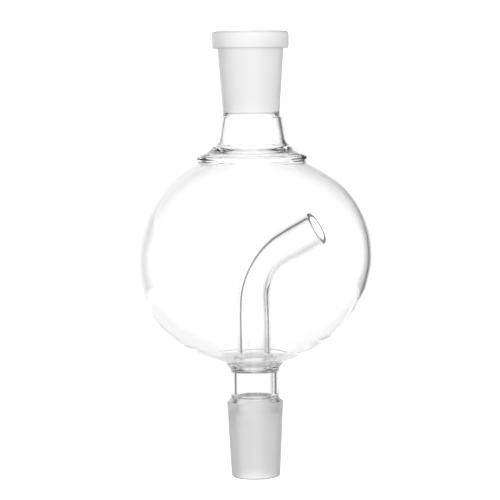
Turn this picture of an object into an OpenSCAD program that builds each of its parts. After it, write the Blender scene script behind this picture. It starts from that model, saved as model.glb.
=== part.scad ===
// Splash trap for a rotary evaporator: a blown glass bulb between a ground socket on top and a
// ground cone below, with a bent vapour tube standing inside the bulb. Sizes in mm.
// Z runs up the glassblower's axis, z = 0 is the tip of the cone, and the tube's mouth faces +X.
// Each node is one length of glass. Neighbours meet face to face where they were fused.

/* [Ground joints] */
// Large-end diameter of the standard joint, shared by the cone and the socket
joint_d = 24; // [19:0.1:30]
// Nominal length of the standard joint
joint_len = 29; // [22:0.5:42]
// Change of diameter per mm of length
joint_taper = 0.1; // [0.09:0.005:0.11]

/* [Cone] */
// Ground length above the cone's gauge plane
cone_over_top = 0.7; // [0.2:0.1:3]
// Ground length past the nominal length at the tip
cone_over_tip = 3; // [0:0.1:5]
// Wall of the cone
cone_wall = 2.1; // [1.6:0.1:2.8]
// Rounding of the tip's outer edge
cone_tip_round = 0.9; // [0.3:0.1:1]
// Height of the sloping shoulder above the ground length
cone_shoulder_h = 1.6; // [0.8:0.1:3]
// Height below the cone's top over which the bore opens out
cone_throat_h = 4; // [2:0.5:8]
// Radius of the narrowest place in the bore, at the weld with the neck
cone_throat_r = 6.9; // [6.2:0.1:7.4]

/* [Lower neck] */
// Outside diameter
low_neck_d = 20.6; // [19:0.1:22]
// Wall
low_neck_wall = 2.3; // [1.6:0.1:2.6]
// Length of the straight tube
low_neck_len = 10.3; // [6:0.1:20]

/* [Ring seal] */
// Height of the fused ring from the neck to the bulb
seal_h = 6.6; // [5.5:0.1:9]
// Thickness of the web between the tube's foot and the neck
seal_web = 3.6; // [2.5:0.1:4.2]
// Flare of the tube's foot on the web
seal_flare = 1.1; // [0.5:0.1:2]

/* [Bulb] */
// Outside diameter at the widest place
bulb_d = 102; // [85:0.5:125]
// Outside height, as if it had no necks
bulb_h = 92; // [77:0.5:112]
// Wall
bulb_wall = 1.4; // [1:0.1:2.2]
// Roundness of the sides, from 0 for an ellipse's own end curve to 1 for upright sides
bulb_belt = 0.34; // [0.2:0.02:0.6]
// Outside radius where the lower end is fused on
bulb_foot_r = 17; // [15:0.5:20]
// Outside radius where the shoulder is fused on
bulb_top_r = 23.4; // [21:0.2:26]

/* [Vapour tube] */
// Outside diameter
tube_d = 14.5; // [12:0.1:15.2]
// Wall
tube_wall = 1.8; // [1:0.1:2.2]
// Height of the straight part above the ring seal
tube_rise = 24; // [18:0.2:31]
// Radius of the bend's centreline
tube_bend_r = 27.5; // [16:0.5:30]
// Angle of the bend, from upright
tube_bend = 61; // [40:1:80]
// Straight length after the bend
tube_reach = 16.4; // [10:0.2:21]

/* [Shoulder] */
// Height from the bulb to the upper neck
shoulder_h = 9.8; // [8:0.1:12]
// Radius of the rolled edge of the shoulder
bead_r = 1.7; // [1:0.1:2.2]
// Wall of the rolled edge, which is a hollow fold
bead_wall = 1.5; // [1:0.1:2.2]

/* [Upper neck] */
// Outside radius at the shoulder
up_neck_base_r = 14.7; // [14:0.1:16]
// Outside radius just below the ground socket
up_neck_head_r = 13.3; // [12.8:0.1:14]
// Wall
up_neck_wall = 2; // [1.5:0.1:2.6]
// Height of the tapering tube
up_neck_h = 8.4; // [5:0.1:14]
// Height of the drawn-in waist between the tube and the socket
waist_h = 3; // [2:0.1:5]

/* [Socket] */
// Ground length past the nominal length
socket_over = 5.1; // [0:0.1:8]
// Wall at the socket's lower end
socket_wall = 1.8; // [1.4:0.1:2.6]
// How much thicker the wall is under the rim
socket_gain = 0.6; // [0:0.1:1.2]
// Outside radius of the rim
rim_r = 16.3; // [15.5:0.1:18]
// Height of the rim
rim_h = 7.2; // [5:0.1:9]
// Rounding of the rim's upper edge
rim_round = 1.4; // [0.6:0.1:1.5]
// Rounding of the rim's lower edge
rim_round_low = 0.5; // [0.3:0.1:0.8]
// Size of the chamfer at the mouth
mouth_chamfer = 0.5; // [0.2:0.1:1]

/* [Hidden] */
$fn = 96;

// points on an arc about [x, z], from angle a0 to a1
function arc(x, z, r, a0, a1, n) = [for (i = [0 : n]) let (a = a0 + (a1 - a0) * i / n)
    [x + r * cos(a), z + r * sin(a)]];

gauge_r = joint_d / 2;
slope = joint_taper / 2;

// heights of the seams, from the tip up
z_cone = cone_over_tip + joint_len + cone_over_top;
z_low = z_cone + cone_shoulder_h;
z_seal = z_low + low_neck_len;
z_bulb = z_seal + seal_h;
tube_r = tube_d / 2;
tube_in = tube_r - tube_wall;
// the straight lengths stand this far back from the bend's walls, so that they fuse cleanly
tube_step = 0.02;
low_r = low_neck_d / 2;
low_in = low_r - low_neck_wall;

// the cone's ground surface
cone_r_tip = gauge_r - slope * (cone_over_tip + joint_len);
cone_r_top = gauge_r + slope * cone_over_top;

// the bulb's outline: two arcs on the sides, centred off the axis, and one each above and below,
// centred on it. The arcs run into each other without a corner.
ba = bulb_d / 2;
bb = bulb_h / 2;
side_r = bb * bb / ba + bulb_belt * (bb - bb * bb / ba);
cap_r = (pow(ba - side_r, 2) + bb * bb - side_r * side_r) / (2 * (bb - side_r));
cap_c = cap_r - bb;
cap_angle = atan2(abs(cap_c), abs(ba - side_r));
foot_drop = sqrt(cap_r * cap_r - bulb_foot_r * bulb_foot_r) - cap_c;
top_rise = sqrt(cap_r * cap_r - bulb_top_r * bulb_top_r) - cap_c;
z_mid = z_bulb + foot_drop;
z_top = z_mid + top_rise;

// inside radius of the bulb at its two seams
cap_in = cap_r - bulb_wall;
foot_in = sqrt(cap_in * cap_in - pow(foot_drop + cap_c, 2));
top_in = sqrt(cap_in * cap_in - pow(top_rise + cap_c, 2));

z_neck = z_top + shoulder_h;
z_waist = z_neck + up_neck_h;
z_socket = z_waist + waist_h;
z_rim = z_socket + joint_len + socket_over - rim_h;
z_mouth = z_rim + rim_h;

// the socket's ground bore and outside, by height
function bore_r(z) = gauge_r - slope * (z_mouth - z);
socket_r0 = bore_r(z_socket) + socket_wall;
socket_r1 = bore_r(z_rim) + socket_wall + socket_gain;

// the tapering upper neck's inside
neck_in0 = up_neck_base_r - up_neck_wall;
neck_in1 = up_neck_head_r - up_neck_wall;

module glass(profile) {
    rotate_extrude() polygon(profile);
}

module ground_cone() {
    color([0.84, 0.86, 0.86])
        glass(concat(
            [[cone_r_tip - cone_wall + 0.4, 0]],
            arc(cone_r_tip - cone_tip_round, cone_tip_round, cone_tip_round, -90, -3, 5),
            [[cone_r_top, z_cone], [low_r, z_low], [cone_throat_r, z_low],
             [cone_throat_r + 0.2, z_cone],
             [cone_r_top - cone_wall - 0.4, z_cone - cone_throat_h * 0.75],
             [cone_r_top - cone_wall - slope * cone_throat_h, z_cone - cone_throat_h],
             [cone_r_tip - cone_wall, 0.6]]));
}

module lower_neck() {
    color([0.80, 0.88, 0.90])
        glass([[cone_throat_r, z_low], [low_r, z_low], [low_r, z_seal], [low_in, z_seal],
               [low_in, z_low + 1.8], [low_in - 0.35, z_low + 0.7]]);
}

module ring_seal() {
    z_web = z_bulb - seal_web;
    color([0.74, 0.84, 0.88])
        glass(concat(
            [[low_in, z_seal], [low_r, z_seal], [low_r + 0.15, z_seal + 1.2],
             [low_r + 0.6, z_seal + 2.4], [low_r + 1.9, z_seal + 4.2],
             [bulb_foot_r - 3.1, z_bulb - 1.15], [bulb_foot_r, z_bulb],
             [foot_in, z_bulb], [tube_r + seal_flare + 0.8, z_bulb - 0.75],
             [tube_r + seal_flare, z_bulb - 0.75], [tube_r + seal_flare * 0.3, z_bulb - 0.5],
             [tube_r, z_bulb], [tube_in, z_bulb],
             [tube_in, z_web - 0.4]],
            arc(tube_r - tube_wall / 2, z_web - 0.4, tube_wall / 2, 180, 345, 6),
            [[low_in - 0.2, z_web - 1]]));
}

// a third of the bulb's outline: a wall on a circle about the origin, between two angles
module wall_arc(r, a0, a1) {
    far = 3 * r;
    intersection() {
        difference() {
            circle(r);
            circle(r - bulb_wall);
        }
        polygon([[0, 0], [far * cos(a0), far * sin(a0)], [far * cos(a1), far * sin(a1)]]);
    }
}

module bulb() {
    color([0.84, 0.91, 0.93])
        rotate_extrude() intersection() {
            union() {
                translate([ba - side_r, z_mid]) wall_arc(side_r, -cap_angle, cap_angle);
                translate([0, z_mid - cap_c]) wall_arc(cap_r, cap_angle, 88);
                translate([0, z_mid + cap_c]) wall_arc(cap_r, -88, -cap_angle);
            }
            polygon([[0, z_bulb], [bulb_d, z_bulb], [bulb_d, z_top], [0, z_top]]);
        }
}

module tube_ring(step) {
    difference() {
        circle(tube_r - step);
        circle(tube_in + step);
    }
}

// one straight length of the tube, reaching a little way into the bend at its start
module tube_length(h) {
    translate([0, 0, -3 * tube_step]) linear_extrude(height = h + 3 * tube_step) tube_ring(tube_step);
}

module vapour_tube() {
    color([0.70, 0.82, 0.88]) {
        translate([0, 0, z_bulb + tube_rise]) mirror([0, 0, 1]) tube_length(tube_rise);
        translate([tube_bend_r, 0, z_bulb + tube_rise]) {
            rotate([90, 0, 0]) rotate([0, 0, 180 - tube_bend])
                rotate_extrude(angle = tube_bend) translate([tube_bend_r, 0]) tube_ring(0);
            rotate([0, tube_bend, 0]) translate([-tube_bend_r, 0, 0]) tube_length(tube_reach);
        }
    }
}

// a flared weld whose inside follows its outside through the fold
module shoulder_bead() {
    bead_x = bulb_top_r - bead_r + 0.2;
    fold_in = bulb_top_r - bead_wall;
    color([0.74, 0.84, 0.88])
        glass(concat(
            [[top_in, z_top], [bulb_top_r - 0.9, z_top]],
            arc(bead_x, z_top + bead_r - 0.1, bead_r, -55, 70, 8),
            [[up_neck_base_r + 4.4, z_top + 4.1], [up_neck_base_r + 2.9, z_top + 5.4],
             [up_neck_base_r + 2.1, z_top + 6.7], [up_neck_base_r + 0.75, z_top + 8],
             [up_neck_base_r, z_neck], [neck_in0, z_neck],
             [neck_in0 + 0.7, z_neck - 2.3], [up_neck_base_r + 0.2, z_top + 5.5],
             [up_neck_base_r + 2.7, z_top + 3.9], [fold_in - 2.1, z_top + 2.9],
             [fold_in - 0.3, z_top + 2.1], [fold_in, z_top + 1.5], [fold_in - 0.6, z_top + 0.9]]));
}

module upper_neck() {
    color([0.80, 0.88, 0.90])
        glass([[neck_in0, z_neck], [up_neck_base_r, z_neck], [up_neck_head_r, z_waist],
               [(up_neck_head_r + socket_r0) / 2 - 0.15, z_waist + waist_h * 0.35],
               [socket_r0, z_socket], [bore_r(z_socket), z_socket], [neck_in1, z_waist]]);
}

module ground_socket() {
    color([0.88, 0.90, 0.90])
        glass([[bore_r(z_socket), z_socket], [socket_r0, z_socket], [socket_r1, z_rim],
               [bore_r(z_rim), z_rim]]);
}

module socket_rim() {
    color([0.84, 0.86, 0.86])
        glass(concat(
            [[bore_r(z_rim), z_rim]],
            arc(rim_r - rim_round_low, z_rim + rim_round_low, rim_round_low, -90, 0, 4),
            arc(rim_r - rim_round, z_mouth - rim_round, rim_round, 0, 90, 6),
            [[gauge_r + mouth_chamfer, z_mouth],
             [bore_r(z_mouth - mouth_chamfer), z_mouth - mouth_chamfer]]));
}

ground_cone();
lower_neck();
ring_seal();
bulb();
vapour_tube();
shoulder_bead();
upper_neck();
ground_socket();
socket_rim();
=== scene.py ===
"""Splash trap for a rotary evaporator: the looks of its glass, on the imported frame."""

import math

import bpy
from mathutils import Euler, Matrix, Vector


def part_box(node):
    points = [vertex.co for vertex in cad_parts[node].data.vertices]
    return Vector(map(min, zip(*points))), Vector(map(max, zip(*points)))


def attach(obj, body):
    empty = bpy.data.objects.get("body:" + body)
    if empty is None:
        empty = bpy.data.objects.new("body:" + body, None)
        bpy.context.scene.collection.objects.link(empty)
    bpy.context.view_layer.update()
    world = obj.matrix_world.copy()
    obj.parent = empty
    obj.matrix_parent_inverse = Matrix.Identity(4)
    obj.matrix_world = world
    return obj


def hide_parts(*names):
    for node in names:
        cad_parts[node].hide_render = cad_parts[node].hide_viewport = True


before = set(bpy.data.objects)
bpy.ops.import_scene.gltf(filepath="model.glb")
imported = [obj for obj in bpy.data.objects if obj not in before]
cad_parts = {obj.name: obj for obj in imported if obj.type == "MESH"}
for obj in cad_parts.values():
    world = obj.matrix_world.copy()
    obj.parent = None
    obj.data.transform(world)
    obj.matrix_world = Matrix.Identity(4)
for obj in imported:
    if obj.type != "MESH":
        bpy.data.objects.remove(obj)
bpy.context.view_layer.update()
MM = 0.001  # metres in a millimetre


# ---------------------------------------------------------------- heights and radii in mm, from the frame
def low(node, axis=2):
    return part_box(node)[0][axis] / MM


def high(node, axis=2):
    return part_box(node)[1][axis] / MM


CONE_TOP = high("ground_cone")
NECK_TOP = high("lower_neck")
SEAL_TOP = high("ring_seal")
BULB_TOP = high("bulb")
BEAD_TOP = high("shoulder_bead")
THROAT_TOP = high("upper_neck")
RIM_LOW = low("socket_rim")
MOUTH = high("socket_rim")
CONE_R = high("ground_cone", 0)
NECK_R = high("lower_neck", 0)
FOOT_R = high("ring_seal", 0)
BULB_R = high("bulb", 0)
TUBE_R = high("vapour_tube", 1)
UPPER_NECK_R = high("upper_neck", 0)
RIM_R = high("socket_rim", 0)

# ---------------------------------------------------------------- sizes in mm that the frame doesn't give
GAUGE_R = 12.0  # bore of the joint at its mouth
SLOPE = 0.05  # taper of the joints, on radius
CONE_SHOULDER = 1.6  # height of the sloping shoulder above the ground part of the cone
CONE_WALL = 2.1
CONE_TIP_ROUND = 0.9
CONE_THROAT_R = 7.3  # bore at the weld between the cone and the lower neck
NECK_BORE_R = 8.0
SEAL_WEB = 3.6  # depth of the web between the inner tube and the neck
BULB_HALF_H = 46.0
BULB_BELT = 0.34  # roundness of the bulb's side: 0 as an ellipse, 1 as round as the bulb is high
BULB_WALL = 1.4
HEAVY_SIDE = 0.22  # how far the bore of the bulb stands off to the left, which makes the right wall heavier
TUBE_WALL = 1.8
TUBE_RISE = 24.0
TUBE_BEND_R = 27.5
TUBE_BEND = math.radians(61)
TUBE_REACH = 16.4
TUBE_SQUEEZE = 0.11  # share by which the bend is flattened in its plane
SQUEEZE_RUN = 8.0  # how far the flattening runs on past each end of the bend
UPPER_NECK_WALL = 2.0
WAIST_H = 3.0  # height of the drawn-in waist under the socket
SOCKET_WALL = 1.8
UNDER_RIM_WALL = 2.4
RIM_EDGE_ROUND = 1.4
SMALL_ROUND = 0.5  # fire-polished edges

STEPS = 160  # faces round each ring
TUBE_STEPS = 48
SOCKET_STEPS = 8
SMOOTH_ANGLE = math.radians(35)


# ---------------------------------------------------------------- small tools
def linear(hex_colour):
    """An sRGB hex colour as linear red, green, blue and alpha."""
    parts = [int(hex_colour[i : i + 2], 16) / 255 for i in (1, 3, 5)]
    return (*[c / 12.92 if c <= 0.04045 else ((c + 0.055) / 1.055) ** 2.4 for c in parts], 1.0)


def add(tree, kind, links=(), values=(), **settings):
    """Adds a node with its settings, links as (input, output socket) and constants as (input, value)."""
    node = tree.nodes.new(kind)
    for name, value in settings.items():
        setattr(node, name, value)
    for name, socket in links:
        tree.links.new(socket, node.inputs[name])
    for name, value in values:
        node.inputs[name].default_value = value
    return node


def new_material(name):
    material = bpy.data.materials.new(name)
    material.use_nodes = True
    material.node_tree.nodes.clear()
    return material


def curve(x, z, r, a0, a1, n):
    """Points on an arc about (x, z), from angle a0 to a1 in degrees."""
    turns = [math.radians(a0 + (a1 - a0) * i / n) for i in range(n + 1)]
    return [(x + r * math.cos(a), z + r * math.sin(a)) for a in turns]


def steps_from(r, z, steps):
    """Points given as steps outwards and upwards from one place."""
    return [(r + out, z + up) for out, up in steps]


def flow(points, step):
    """A smooth line through given points, as glass flows, with a point about every step."""
    line = [points[0]]
    for i in range(len(points) - 1):
        p0 = Vector(points[max(i - 1, 0)])
        p1 = Vector(points[i])
        p2 = Vector(points[i + 1])
        p3 = Vector(points[min(i + 2, len(points) - 1)])
        n = max(1, round((p2 - p1).length / step))
        for k in range(1, n + 1):
            t = k / n
            square = 2 * p0 - 5 * p1 + 4 * p2 - p3
            cube = 3 * p1 - p0 - 3 * p2 + p3
            at = 0.5 * (2 * p1 + (p2 - p0) * t + square * t**2 + cube * t**3)
            line.append((at.x, at.y))
    return line


def clear_selection():
    for other in bpy.context.selected_objects:
        other.select_set(False)


def first_ring(name, r, z):
    """The open ring that a length of glass is pulled from, selected in edit mode."""
    clear_selection()
    bpy.ops.mesh.primitive_circle_add(
        vertices=STEPS, radius=r * MM, fill_type="NOTHING", location=(0, 0, z * MM))
    piece = bpy.context.object
    piece.name = piece.data.name = name
    bpy.ops.object.transform_apply(location=True, rotation=False, scale=False)
    bpy.ops.object.mode_set(mode="EDIT")
    bpy.ops.mesh.select_all(action="SELECT")
    return piece


def pull_ring(across, up):
    """Extrudes the selected ring by this much towards +X and upwards, in mm."""
    bpy.ops.mesh.extrude_region_move(TRANSFORM_OT_translate={"value": (across * MM, 0, up * MM)})


def pulled(name, outline, sway=None):
    """Pulls a ring of glass along an outline of (radius, height) points, and joins its end to its start.

    sway gives how far each ring stands off the axis towards +X, from its number and its height.
    """
    r, z = outline[0]
    x = 0.0
    piece = first_ring(name, r, z)
    for i, (r_next, z_next) in enumerate(outline[1:], start=1):
        x_next = sway(i, z_next) if sway else 0.0
        pull_ring(x_next - x, z_next - z)
        bpy.ops.transform.resize(value=(r_next / r, r_next / r, 1))
        r, z, x = r_next, z_next, x_next
    bpy.ops.mesh.select_all(action="DESELECT")
    bpy.ops.mesh.select_mode(type="EDGE")
    bpy.ops.mesh.select_non_manifold(extend=False)
    bpy.ops.mesh.bridge_edge_loops()
    bpy.ops.mesh.select_all(action="SELECT")
    bpy.ops.mesh.remove_doubles(threshold=1e-6)
    bpy.ops.mesh.normals_make_consistent(inside=False)
    bpy.ops.mesh.select_mode(type="VERT")
    bpy.ops.object.mode_set(mode="OBJECT")
    bpy.ops.object.shade_smooth_by_angle(angle=SMOOTH_ANGLE)
    return piece


def finish_piece(piece, node, materials, pick):
    """Gives the piece its materials, by each face's centre and normal, and its place in the table."""
    for material in materials:
        piece.data.materials.append(material)
    for face in piece.data.polygons:
        face.material_index = pick(face.center / MM, face.normal)
    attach(piece, "root")
    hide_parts(node)


def is_level(normal):
    return abs(normal.z) > 0.999


def at_seam(*heights):
    """Picks a seam's flat faces: the second material there and the first elsewhere."""
    return lambda c, n: 1 if is_level(n) and min(abs(c.z - h) for h in heights) < 0.01 else 0


# ---------------------------------------------------------------- materials
GLASS_IOR = 1.474


def clear_borosilicate(name, wave_mm, wave_depth):
    """Clear borosilicate glass, fire polished: no colour, and the slow waves of walls worked by hand."""
    material = new_material(name)
    t = material.node_tree
    place = add(t, "ShaderNodeTexCoord")
    waves = add(
        t, "ShaderNodeTexNoise", [("Vector", place.outputs["Object"])],
        [("Scale", 1 / (wave_mm * MM)), ("Detail", 1.5), ("Roughness", 0.45)])
    bump = add(
        t, "ShaderNodeBump", [("Height", waves.outputs["Fac"])],
        [("Strength", 1.0), ("Distance", wave_depth * MM)])
    glass = add(
        t, "ShaderNodeBsdfPrincipled", [("Normal", bump.outputs["Normal"])],
        [("Base Color", linear("#ffffff")), ("Roughness", 0.0), ("IOR", GLASS_IOR),
         ("Transmission Weight", 1.0)])
    add(t, "ShaderNodeOutputMaterial", [("Surface", glass.outputs["BSDF"])])
    return material


def ground_borosilicate(name, colour, roughness, through):
    """Borosilicate glass ground with silicon carbide grit for the joint: matt, and grey-white in the given
    colour; a darker grey given colour is painted shade.

    It lets light through only as a glow, with faint rings left by the turning tool.
    """
    grit_mm = 0.5  # real marks are about 0.05 mm, too fine to show, so they are drawn ten times coarser
    ring_mm, ring_run_mm = 1.5625, 41.667
    material = new_material(name)
    t = material.node_tree
    place = add(t, "ShaderNodeTexCoord")
    grit = add(
        t, "ShaderNodeTexNoise", [("Vector", place.outputs["Object"])],
        [("Scale", 1 / (grit_mm * MM)), ("Detail", 3)])
    round_about = 1 / (ring_run_mm * MM)
    lay = add(
        t, "ShaderNodeMapping", [("Vector", place.outputs["Object"])],
        [("Scale", (round_about, round_about, 1 / (ring_mm * MM)))], vector_type="POINT")
    rings = add(t, "ShaderNodeTexNoise", [("Vector", lay.outputs["Vector"])], [("Scale", 1), ("Detail", 2)])
    both = add(t, "ShaderNodeMath", [(0, grit.outputs["Fac"]), (1, rings.outputs["Fac"])], operation="ADD")
    bump = add(
        t, "ShaderNodeBump", [("Height", both.outputs["Value"])],
        [("Strength", 0.25), ("Distance", 0.03 * MM)])
    patch = add(
        t, "ShaderNodeMapRange", [("Value", rings.outputs["Fac"])],
        [("From Min", 0.3), ("From Max", 0.7), ("To Min", roughness - 0.05), ("To Max", roughness + 0.05)])
    glass = add(
        t, "ShaderNodeBsdfPrincipled",
        [("Normal", bump.outputs["Normal"]), ("Roughness", patch.outputs["Result"])],
        [("Base Color", linear(colour)), ("IOR", GLASS_IOR), ("Transmission Weight", through)])
    add(t, "ShaderNodeOutputMaterial", [("Surface", glass.outputs["BSDF"])])
    return material


def fused_seam():
    """Where two lengths are melted into one there is no surface left, so light goes straight on."""
    material = new_material("fused_seam")
    t = material.node_tree
    through = add(t, "ShaderNodeBsdfTransparent")
    add(t, "ShaderNodeOutputMaterial", [("Surface", through.outputs["BSDF"])])
    return material


blown = clear_borosilicate("borosilicate_blown_wall", wave_mm=26, wave_depth=0.10)
drawn = clear_borosilicate("borosilicate_drawn_tube", wave_mm=18, wave_depth=0.03)
melted = clear_borosilicate("borosilicate_flame_weld", wave_mm=6, wave_depth=0.07)
# the cone's ground glass gets a darker grey (#dcdcdc) than the socket's near-white: painted shade that
# darkens the whole cone
ground = ground_borosilicate("borosilicate_ground_cone_painted_shade", "#dcdcdc", roughness=0.62, through=0.88)
ground_bore = ground_borosilicate("borosilicate_ground_bore", "#fbfbfb", roughness=0.6, through=0.95)
ground_skin = ground_borosilicate("borosilicate_ground_skin", "#fafafa", roughness=0.4, through=0.88)
seam = fused_seam()


# ---------------------------------------------------------------- ground cone
ground_top = CONE_TOP - CONE_SHOULDER
tip_r = CONE_R - SLOPE * ground_top
tip_bore_r = tip_r - CONE_WALL

outside = curve(tip_r - CONE_TIP_ROUND, CONE_TIP_ROUND, CONE_TIP_ROUND, -90, -3, 8)
outside += [(CONE_R - SLOPE * (ground_top - z), z) for z in (8, 16, 24, ground_top - 0.3)]
shoulder = flow(
    steps_from(CONE_R, ground_top, [(-0.25, 0.08), (-0.9, 0.75)])
    + [(NECK_R + 0.15, ground_top + 1.3), (NECK_R, CONE_TOP)], 0.2)
throat = flow(
    [(CONE_THROAT_R, CONE_TOP), (7.25, ground_top + 0.9), (7.7, ground_top - 0.6), (8.7, ground_top - 2.6),
     (CONE_R - 2.3, ground_top - 5)], 0.25)
bore = [(tip_bore_r + SLOPE * z, z) for z in (20, 12, 4, 1)]
bore += curve(tip_bore_r + SMALL_ROUND, SMALL_ROUND, SMALL_ROUND, 180, 262, 5)
cone = pulled("glass_ground_cone", outside + shoulder + throat + bore)


def cone_faces(c, n):
    if abs(c.z - CONE_TOP) < 0.01 and is_level(n):
        return 1
    return 2 if c.z < ground_top - 0.1 and math.hypot(c.x, c.y) > tip_r - 1.0 + SLOPE * c.z else 0


finish_piece(cone, "ground_cone", [drawn, seam, ground], cone_faces)

# ---------------------------------------------------------------- lower neck
neck_inside = flow(
    [(NECK_BORE_R, NECK_TOP - 4), (NECK_BORE_R, CONE_TOP + 1.8), (7.85, CONE_TOP + 0.8),
     (CONE_THROAT_R, CONE_TOP)], 0.25)
neck = pulled(
    "glass_lower_neck",
    [(NECK_R, z) for z in (CONE_TOP, CONE_TOP + 3, NECK_TOP - 3, NECK_TOP)]
    + [(NECK_BORE_R, NECK_TOP)] + neck_inside)
finish_piece(neck, "lower_neck", [drawn, seam], at_seam(CONE_TOP, NECK_TOP))

# ---------------------------------------------------------------- arcs of the bulb, which its neighbours meet
half_w = BULB_R - 0.001  # a hair inside the solids' box, so that rounding doesn't take it past
half_h = BULB_HALF_H
side_r = half_h**2 / half_w + BULB_BELT * (half_h - half_h**2 / half_w)
cap_r = ((half_w - side_r) ** 2 + half_h**2 - side_r**2) / (2 * (half_h - side_r))
cap_c = cap_r - half_h
foot_drop = math.sqrt(cap_r**2 - FOOT_R**2) - cap_c
mid = SEAL_TOP + foot_drop
top_rise = BULB_TOP - mid
foot_in = math.sqrt((cap_r - BULB_WALL) ** 2 - (foot_drop + cap_c) ** 2)
top_r = math.sqrt(cap_r**2 - (top_rise + cap_c) ** 2)
top_in = math.sqrt((cap_r - BULB_WALL) ** 2 - (top_rise + cap_c) ** 2)

# ---------------------------------------------------------------- ring seal
web = SEAL_TOP - SEAL_WEB
tube_in = TUBE_R - TUBE_WALL

seal_outside = flow(
    steps_from(NECK_R, NECK_TOP, [(0, 0), (0.1, 1.1), (0.6, 2.5), (1.9, 4.2)])
    + steps_from(FOOT_R, SEAL_TOP, [(-3.1, -1.15), (0, 0)]), 0.3)
seal_floor = flow(
    steps_from(foot_in, SEAL_TOP, [(0, 0), (-1.6, -0.5), (-3.6, -1.2)])
    + steps_from(TUBE_R, SEAL_TOP, [(2.2, -1.9), (0.7, -2.1), (0.1, -1.5), (0, 0)]), 0.25)
seal_under = flow(
    steps_from(tube_in, web, [(0, 1), (0, -0.3), (0.25, -0.9)])
    + steps_from(TUBE_R, web, [(-0.8, -1.1), (0.1, -0.9)])
    + [(NECK_BORE_R - 0.2, web - 1.5), (NECK_BORE_R, NECK_TOP + 0.8), (NECK_BORE_R, NECK_TOP)], 0.2)
seal = pulled("glass_ring_seal", seal_outside + seal_floor + [(tube_in, SEAL_TOP)] + seal_under)
finish_piece(seal, "ring_seal", [melted, seam], at_seam(NECK_TOP, SEAL_TOP))


# ---------------------------------------------------------------- bulb
def bulb_line(inset, n):
    """The bulb's outline at a depth in its wall, from seam to seam, as a low, a side and a top arc."""
    lean = math.degrees(math.atan2(cap_c, half_w - side_r))
    cap, side = cap_r - inset, side_r - inset
    a_low = math.degrees(math.asin((SEAL_TOP - mid - cap_c) / cap))
    a_high = math.degrees(math.asin((BULB_TOP - mid + cap_c) / cap))
    return (
        curve(0, mid + cap_c, cap, a_low, -lean, n)
        + curve(half_w - side_r, mid, side, -lean, lean, 2 * n)[1:]
        + curve(0, mid - cap_c, cap, lean, a_high, n)[1:])


bulb_outside = bulb_line(0, 24)
bulb_inside = bulb_line(BULB_WALL, 24)
SWAYS = (
    (SEAL_TOP, 0), (SEAL_TOP + 5, -0.75), (mid - 33, -1.35), (mid - 23, -1.6), (mid - 12, -0.5), (mid, 0),
    (mid + 14, 0.4), (mid + 28, 0.6), (BULB_TOP, 0))


def blown_sway(i, z):
    """How far the hand-blown wall sways towards +X at a height, with none at the seams."""
    k = max(j for j in range(len(SWAYS) - 1) if z >= SWAYS[j][0] - 1e-6)
    (z_a, shift_a), (z_b, shift_b) = SWAYS[k], SWAYS[k + 1]
    t = (z - z_a) / (z_b - z_a)
    shift = shift_a + (shift_b - shift_a) * t * t * (3 - 2 * t)
    if i < len(bulb_outside):
        return shift
    return shift - HEAVY_SIDE * math.sin(math.pi * (z - SEAL_TOP) / (BULB_TOP - SEAL_TOP))


bulb = pulled("glass_bulb", bulb_outside + bulb_inside[::-1], blown_sway)
finish_piece(bulb, "bulb", [blown, seam], at_seam(SEAL_TOP, BULB_TOP))

# ---------------------------------------------------------------- bent vapour tube
bend_run = TUBE_BEND_R * TUBE_BEND
tube_run = TUBE_RISE + bend_run + TUBE_REACH


def station(along):
    """The tube's middle, lean and narrowing in the plane of the bend, this far along the tube."""
    turned = min(max(along - TUBE_RISE, 0) / TUBE_BEND_R, TUBE_BEND)
    past = max(along - TUBE_RISE - bend_run, 0)
    x = TUBE_BEND_R * (1 - math.cos(turned)) + past * math.sin(turned)
    z = SEAL_TOP + min(along, TUBE_RISE) + TUBE_BEND_R * math.sin(turned) + past * math.cos(turned)
    share = min(max((along - TUBE_RISE + SQUEEZE_RUN) / (bend_run + 2 * SQUEEZE_RUN), 0), 1)
    return x, z, turned, 1 - TUBE_SQUEEZE * math.sin(math.pi * share) ** 2


tube = first_ring("glass_vapour_tube", TUBE_R, SEAL_TOP)
x, z, lean, width = station(0)
for k in range(1, TUBE_STEPS + 1):
    x_next, z_next, lean_next, width_next = station(tube_run * k / TUBE_STEPS)
    centre = (x_next * MM, 0, z_next * MM)
    pull_ring(x_next - x, z_next - z)
    bpy.ops.transform.resize(
        value=(width_next / width, 1, 1), orient_type="GLOBAL", orient_matrix=Matrix.Rotation(lean, 3, "Y"),
        orient_matrix_type="GLOBAL", constraint_axis=(True, False, False), center_override=centre)
    bpy.ops.transform.rotate(value=lean - lean_next, orient_axis="Y", center_override=centre)
    x, z, lean, width = x_next, z_next, lean_next, width_next
bpy.ops.mesh.select_all(action="SELECT")
bpy.ops.mesh.normals_make_consistent(inside=False)
bpy.ops.object.mode_set(mode="OBJECT")
wall = tube.modifiers.new("wall", "SOLIDIFY")
wall.thickness = TUBE_WALL * MM
wall.offset = -1
bpy.ops.object.modifier_apply(modifier="wall")

mouth_x, mouth_z, mouth_lean, _ = station(tube_run)
mouth_at = Vector((mouth_x, 0, mouth_z))
mouth_way = Vector((math.sin(mouth_lean), 0, math.cos(mouth_lean)))


def off_mouth(vertex):
    """How far a vertex is past the plane of the mouth, and how far from its middle."""
    away = vertex.co / MM - mouth_at
    return away.dot(mouth_way), away.length


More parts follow.
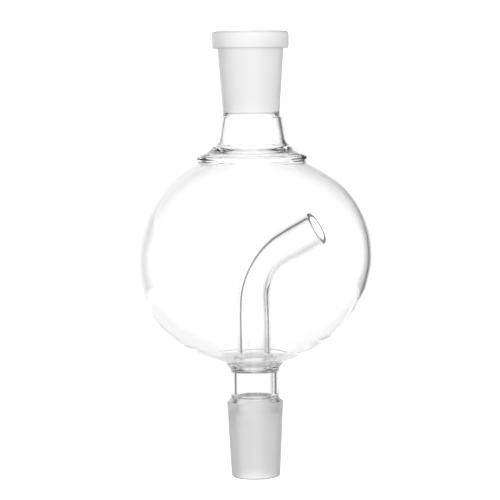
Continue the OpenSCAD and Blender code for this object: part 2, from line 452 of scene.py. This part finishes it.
for part in (tube.data.vertices, tube.data.edges, tube.data.polygons):
    part.foreach_set("select", [False] * len(part))
for edge in tube.data.edges:
    (past_a, far_a), (past_b, far_b) = (off_mouth(tube.data.vertices[v]) for v in edge.vertices)
    edge.select = max(abs(past_a), abs(past_b), abs(far_a - far_b)) < 0.02
bpy.ops.object.mode_set(mode="EDIT")
bpy.ops.mesh.select_mode(type="EDGE")
bpy.ops.mesh.bevel(offset=SMALL_ROUND * MM, segments=4, affect="EDGES")
bpy.ops.mesh.select_mode(type="VERT")
bpy.ops.object.mode_set(mode="OBJECT")
bpy.ops.object.shade_smooth_by_angle(angle=SMOOTH_ANGLE)
finish_piece(tube, "vapour_tube", [drawn, seam], at_seam(SEAL_TOP))

# ---------------------------------------------------------------- shoulder with its rolled edge
neck_in = UPPER_NECK_R - UPPER_NECK_WALL
bead_outside = flow(
    steps_from(top_r, BULB_TOP, [(-0.5, 0.25), (0.05, 0.9), (0.2, 1.6), (-0.3, 2.6), (-1.6, 3.3)])
    + steps_from(UPPER_NECK_R, BULB_TOP, [(4.6, 4.2), (3.0, 5.3), (2.0, 6.7), (0.8, 8)])
    + [(UPPER_NECK_R, BEAD_TOP)], 0.25)
fold = [(0, 0), (0.7, -2.3), (2.2, -4.3), (4.7, -5.9), (7.3, -6.9), (8.9, -7.7), (9.2, -8.3), (8.6, -8.9)]
bead_inside = flow(steps_from(neck_in, BEAD_TOP, fold) + [(top_in, BULB_TOP)], 0.25)
bead = pulled("glass_shoulder_bead", [(top_r, BULB_TOP)] + bead_outside + bead_inside)
finish_piece(bead, "shoulder_bead", [melted, seam], at_seam(BULB_TOP, BEAD_TOP))


# ---------------------------------------------------------------- upper neck
def bore_r(z):
    """The radius of the socket's tapered bore at a height."""
    return GAUGE_R - SLOPE * (MOUTH - z)


waist = THROAT_TOP - WAIST_H
half_way = BEAD_TOP + 5
socket_r = bore_r(THROAT_TOP) + SOCKET_WALL
neck_outside = flow(
    [(UPPER_NECK_R, BEAD_TOP), (13.9, half_way), (13.3, waist), (12.5, waist + 1.1),
     (socket_r + 0.05, THROAT_TOP - 1), (socket_r, THROAT_TOP)], 0.3)
neck_bore = flow(
    [(bore_r(THROAT_TOP), THROAT_TOP), (10.6, THROAT_TOP - 1.3), (11.25, waist), (11.9, half_way),
     (neck_in, BEAD_TOP)], 0.3)
upper = pulled("glass_upper_neck", neck_outside + neck_bore)
finish_piece(upper, "upper_neck", [drawn, seam], at_seam(BEAD_TOP, THROAT_TOP))

# ---------------------------------------------------------------- ground socket
under_rim = bore_r(RIM_LOW) + UNDER_RIM_WALL
rows = [THROAT_TOP + (RIM_LOW - THROAT_TOP) * i / SOCKET_STEPS for i in range(SOCKET_STEPS + 1)]
socket = pulled(
    "glass_ground_socket",
    [(socket_r + (under_rim - socket_r) * i / SOCKET_STEPS, z) for i, z in enumerate(rows)]
    + [(bore_r(z), z) for z in reversed(rows)])


def socket_faces(c, n):
    if is_level(n):
        return 1
    return 2 if math.hypot(c.x, c.y) < bore_r(c.z) + 0.3 else 0


finish_piece(socket, "ground_socket", [ground_skin, seam, ground_bore], socket_faces)

# ---------------------------------------------------------------- rim round the mouth
rim = pulled(
    "glass_socket_rim",
    curve(RIM_R - SMALL_ROUND, RIM_LOW + SMALL_ROUND, SMALL_ROUND, -90, 0, 6)
    + curve(RIM_R - RIM_EDGE_ROUND, MOUTH - RIM_EDGE_ROUND, RIM_EDGE_ROUND, 0, 90, 10)
    + [(GAUGE_R + SMALL_ROUND, MOUTH)]
    + curve(GAUGE_R + SMALL_ROUND, MOUTH - SMALL_ROUND, SMALL_ROUND, 100, 180, 5)
    + [(bore_r(z), z) for z in (MOUTH - 3, MOUTH - 5, RIM_LOW)]
    + [(under_rim, RIM_LOW)])


def rim_faces(c, n):
    r = math.hypot(c.x, c.y)
    if is_level(n) and n.z < 0 and r < under_rim:
        return 1
    return 2 if r < bore_r(c.z) + 0.3 or c.z > MOUTH - 0.3 else 0


finish_piece(rim, "socket_rim", [ground_skin, seam, ground_bore], rim_faces)

# ---------------------------------------------------------------- floor
WHITE = 1.25
FLOOR_R = 0.9
FLOOR_DROP = 0.2


def painted_glow_floor():
    """Floor that glows with painted light, standing in for a lit white floor: dimmer near the glass as a
    painted shadow pool, and bright towards its rim.
    """
    material = new_material("floor_painted_glow_and_shadow")
    t = material.node_tree
    place = add(t, "ShaderNodeTexCoord")
    away = add(t, "ShaderNodeVectorMath", [(0, place.outputs["Object"])], operation="LENGTH")
    # painted shadow pool: the glow drops to 0.8 within 0.7 m of the middle, under the glass, and rises to
    # full white at the rim
    glow_and_shadow_pool = add(
        t, "ShaderNodeMapRange", [("Value", away.outputs["Value"])],
        [("From Min", 0.7), ("From Max", FLOOR_R), ("To Min", 0.8), ("To Max", WHITE)],
        interpolation_type="SMOOTHSTEP")
    # the floor glows on its own, as painted light, though it is no lamp
    glow = add(t, "ShaderNodeEmission", [("Strength", glow_and_shadow_pool.outputs["Result"])])
    add(t, "ShaderNodeOutputMaterial", [("Surface", glow.outputs["Emission"])])
    return material


clear_selection()
bpy.ops.mesh.primitive_circle_add(
    vertices=96, radius=FLOOR_R, fill_type="NGON", location=(0, 0, -FLOOR_DROP))
bpy.ops.object.transform_apply(location=True, rotation=False, scale=False)
floor = bpy.context.object
floor.name = "studio_floor"
floor.data.materials.append(painted_glow_floor())

# ---------------------------------------------------------------- light tent
TENT_TURN = math.radians(-27.5)
WINDOW_FULL = math.cos(math.radians(14))  # each sheet is at its brightest up to 14 degrees from its middle
WINDOW_END = math.cos(math.radians(43))
TENT_GAP = 0.03  # the dark strips between the sheets, which draw the edges of the clear glass
TENT_ROOF = 1.0

world = bpy.data.worlds.new("light_tent")
bpy.context.scene.world = world
world.use_nodes = True
w = world.node_tree
w.nodes.clear()
place = add(w, "ShaderNodeTexCoord")
turn = add(
    w, "ShaderNodeMapping", [("Vector", place.outputs["Generated"])],
    [("Rotation", (0, 0, TENT_TURN))], vector_type="POINT")
axes = add(w, "ShaderNodeSeparateXYZ", [(0, turn.outputs["Vector"])])
across = add(w, "ShaderNodeMath", [(0, axes.outputs["X"])], operation="ABSOLUTE")
along = add(w, "ShaderNodeMath", [(0, axes.outputs["Y"])], operation="ABSOLUTE")
nearest = add(
    w, "ShaderNodeMath", [(0, across.outputs["Value"]), (1, along.outputs["Value"])], operation="MAXIMUM")
sheet = add(
    w, "ShaderNodeMapRange", [("Value", nearest.outputs["Value"])],
    [("From Min", WINDOW_END), ("From Max", WINDOW_FULL), ("To Min", TENT_GAP), ("To Max", WHITE)],
    interpolation_type="SMOOTHSTEP")
# the sheets are dimmer higher up
dim = add(
    w, "ShaderNodeMapRange", [("Value", axes.outputs["Z"])],
    [("From Min", 0.05), ("From Max", 0.35), ("To Min", 1.0), ("To Max", 0.65)],
    interpolation_type="SMOOTHSTEP")
sides = add(
    w, "ShaderNodeMath", [(0, sheet.outputs["Result"]), (1, dim.outputs["Result"])], operation="MULTIPLY")
# an even roof closes the tent
above = add(
    w, "ShaderNodeMapRange", [("Value", axes.outputs["Z"])],
    [("From Min", 0.85), ("From Max", 0.98)], interpolation_type="SMOOTHSTEP")
tent = add(
    w, "ShaderNodeMix", [(0, above.outputs["Result"]), (2, sides.outputs["Value"])],
    [(3, TENT_ROOF)], data_type="FLOAT")
# behind the glass there is plain white
ray = add(w, "ShaderNodeLightPath")
seen = add(
    w, "ShaderNodeMix", [(0, ray.outputs["Is Camera Ray"]), (2, tent.outputs[0])],
    [(3, WHITE)], data_type="FLOAT")
back = add(w, "ShaderNodeBackground", [("Strength", seen.outputs[0])], [("Color", linear("#ffffff"))])
add(w, "ShaderNodeOutputWorld", [("Surface", back.outputs["Background"])])

# ---------------------------------------------------------------- soft boxes and camera
CAMERA_SWING = math.radians(17)
CAMERA_AT = (-0.00034, -0.9, 0.17)
CAMERA_TILT = (math.radians(85.4), math.radians(0.77), 0)
HALF_VIEW = math.radians(6.75)
SENSOR = 36.0
BOX_SIZE = 0.8
BOX_WATTS = 23
BOX_SIDE = math.radians(55)
BOX_AIM = Vector((0, 0, 0.1))

# two soft boxes that whiten the matt glass and don't show in the clear glass
for side in (-1, 1):
    lamp = bpy.data.lights.new("soft_box", "AREA")
    lamp.shape = "RECTANGLE"
    lamp.size = lamp.size_y = BOX_SIZE
    lamp.energy = BOX_WATTS
    box = bpy.data.objects.new("soft_box", lamp)
    bpy.context.collection.objects.link(box)
    box_at = Matrix.Rotation(CAMERA_SWING + BOX_SIDE * side, 4, "Z") @ Vector((0, -1.0, 0.35))
    facing = (box_at - BOX_AIM).to_track_quat("Z", "Y").to_matrix().to_4x4()
    box.matrix_world = Matrix.Translation(box_at) @ facing
    box.visible_camera = box.visible_glossy = box.visible_transmission = False

camera_data = bpy.data.cameras.new("camera")
camera = bpy.data.objects.new("camera", camera_data)
bpy.context.collection.objects.link(camera)
bpy.context.scene.camera = camera
camera_data.sensor_width = SENSOR
camera_data.lens = SENSOR / 2 / math.tan(HALF_VIEW)
camera_data.clip_start, camera_data.clip_end = 0.05, 60
swung = Matrix.Rotation(CAMERA_SWING, 4, "Z") @ Matrix.Translation(CAMERA_AT)
camera.matrix_world = swung @ Euler(CAMERA_TILT).to_matrix().to_4x4()

# light goes through many walls of clear glass, one behind the other
scene = bpy.context.scene
scene.view_settings.view_transform = "Standard"
scene.cycles.max_bounces = 40
scene.cycles.transmission_bounces = 40
scene.cycles.glossy_bounces = 24
scene.cycles.transparent_max_bounces = 40
